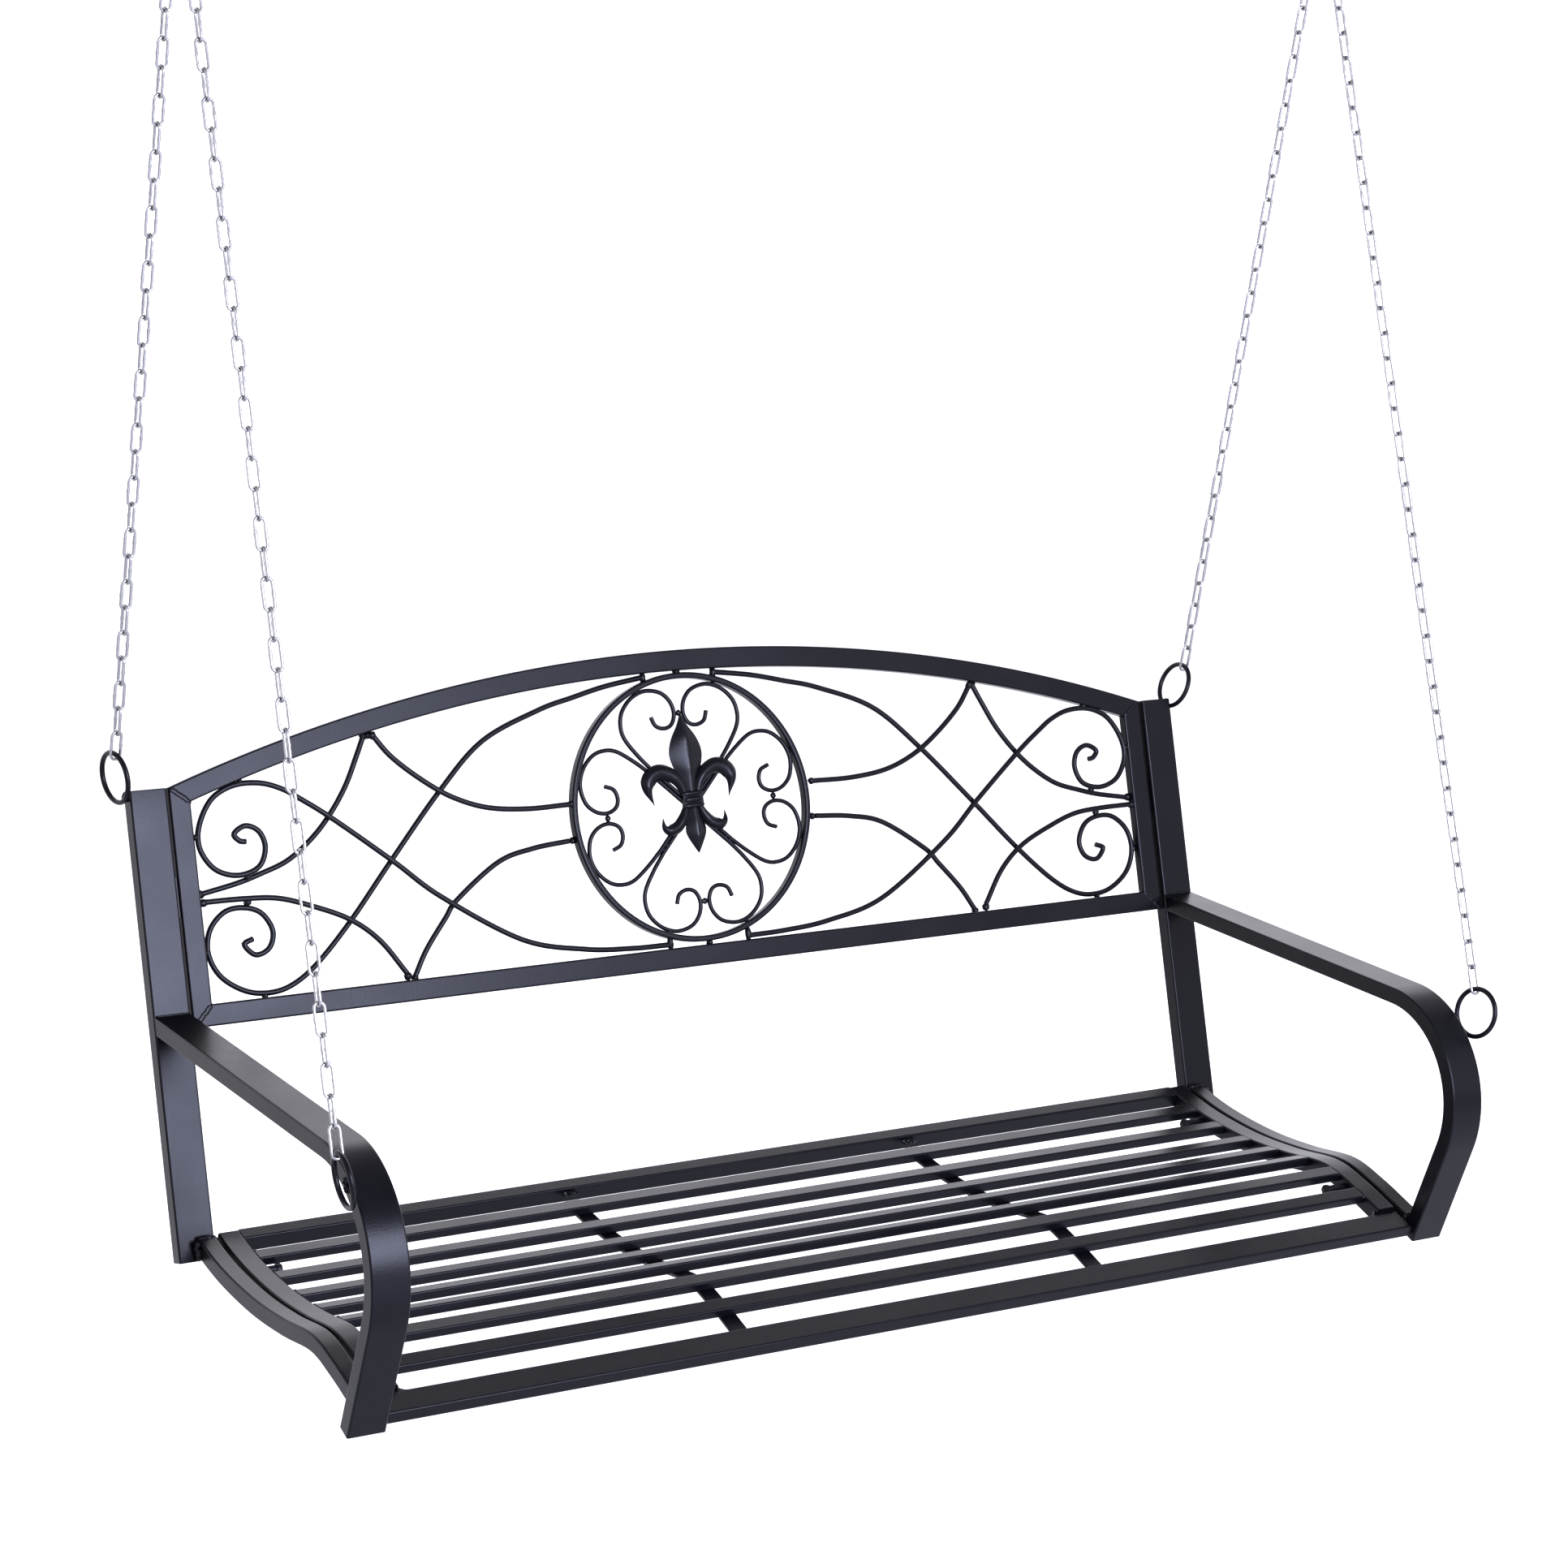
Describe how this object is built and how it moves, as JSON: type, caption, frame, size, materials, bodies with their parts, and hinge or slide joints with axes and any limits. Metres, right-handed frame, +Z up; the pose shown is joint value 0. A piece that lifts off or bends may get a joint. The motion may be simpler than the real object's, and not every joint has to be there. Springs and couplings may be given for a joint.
{
  "type": "porch swing",
  "caption": "Hanging steel porch swing with a slatted seat, an arched scrollwork back panel, bent tube armrests and chains that meet at two ceiling fittings.",
  "frame": {"origin": "midway between the two ceiling fittings, on the plane their fixing plates bear on", "axes": "+X along the bench's length, to the right of someone facing it; -Y to the front; +Z up"},
  "size_m": [1.375, 0.5983, 1.4743],
  "materials": {
    "black_steel": "satin powder coat",
    "zinc": "bright zinc plate"
  },
  "bodies": {
    "fittings": {"ceiling_eye_left": "zinc", "ceiling_eye_right": "zinc"},
    "left_hook": {"hanger_left": "zinc"},
    "right_hook": {"hanger_right": "zinc"},
    "left_chains": {"chain_front_left": "zinc", "chain_rear_left": "zinc"},
    "right_chains": {"chain_front_right": "zinc", "chain_rear_right": "zinc"},
    "bench": {"arch": "black_steel", "armrest_left": "black_steel", "armrest_right": "black_steel", "back_bottom_rail": "black_steel", "bar_lower_rail_left": "black_steel", "bar_lower_rail_right": "black_steel", "bar_lower_side_left": "black_steel", "bar_lower_side_right": "black_steel", "bar_upper_arch_left": "black_steel", "bar_upper_arch_right": "black_steel", "bar_upper_side_left": "black_steel", "bar_upper_side_right": "black_steel", "fleur": "black_steel", "heart_bottom": "black_steel", "heart_left": "black_steel", "heart_right": "black_steel", "heart_top": "black_steel", "medallion_ring": "black_steel", "panel_weld_left": "black_steel", "panel_weld_right": "black_steel", "post_left": "black_steel", "post_right": "black_steel", "ring_front_left": "black_steel", "ring_front_right": "black_steel", "ring_rear_left": "black_steel", "ring_rear_right": "black_steel", "scroll_low_left": "black_steel", "scroll_low_right": "black_steel", "scroll_top_left": "black_steel", "scroll_top_right": "black_steel", "seat_bolt_front_left": "black_steel", "seat_bolt_front_right": "black_steel", "seat_bolt_rear_left": "black_steel", "seat_bolt_rear_right": "black_steel", "seat_front_rail": "black_steel", "seat_rear_rail": "black_steel", "seat_side_left": "black_steel", "seat_side_right": "black_steel", "seat_support_left": "black_steel", "seat_support_right": "black_steel", "side_rail_left": "black_steel", "side_rail_right": "black_steel", "slat_1": "black_steel", "slat_2": "black_steel", "slat_3": "black_steel", "slat_4": "black_steel", "slat_5": "black_steel", "slat_6": "black_steel", "slat_7": "black_steel", "stile_left": "black_steel", "stile_right": "black_steel"}
  },
  "joints": [
    {"name": "swing_left", "type": "hinge", "parent": "fittings", "child": "left_hook", "pos_m": [-0.6525, 0, -0.032], "axis": [1, 0, 0], "range_deg": [-25, 25]},
    {"name": "swing_right", "type": "hinge", "parent": "fittings", "child": "right_hook", "pos_m": [0.6525, 0, -0.032], "axis": [1, 0, 0], "range_deg": [-25, 25]},
    {"name": "sway_left", "type": "hinge", "parent": "left_hook", "child": "left_chains", "pos_m": [-0.6525, 0, -0.0769], "axis": [0, 0.8814, 0.4724], "range_deg": [-6, 6]},
    {"name": "sway_right", "type": "hinge", "parent": "right_hook", "child": "right_chains", "pos_m": [0.6525, 0, -0.0769], "axis": [0, 0.8814, 0.4724], "range_deg": [-6, 6]},
    {"name": "bench_level", "type": "hinge", "parent": "left_chains", "child": "bench", "pos_m": [-0.6525, -0.0334, -1.0587], "axis": [0, 0.8814, 0.4724], "range_deg": [-6, 6]}
  ],
  "couplings": [
    {"joint": "swing_right", "follows": "swing_left", "ratio": 1},
    {"joint": "sway_right", "follows": "sway_left", "ratio": 1},
    {"joint": "bench_level", "follows": "sway_left", "ratio": -1}
  ]
}
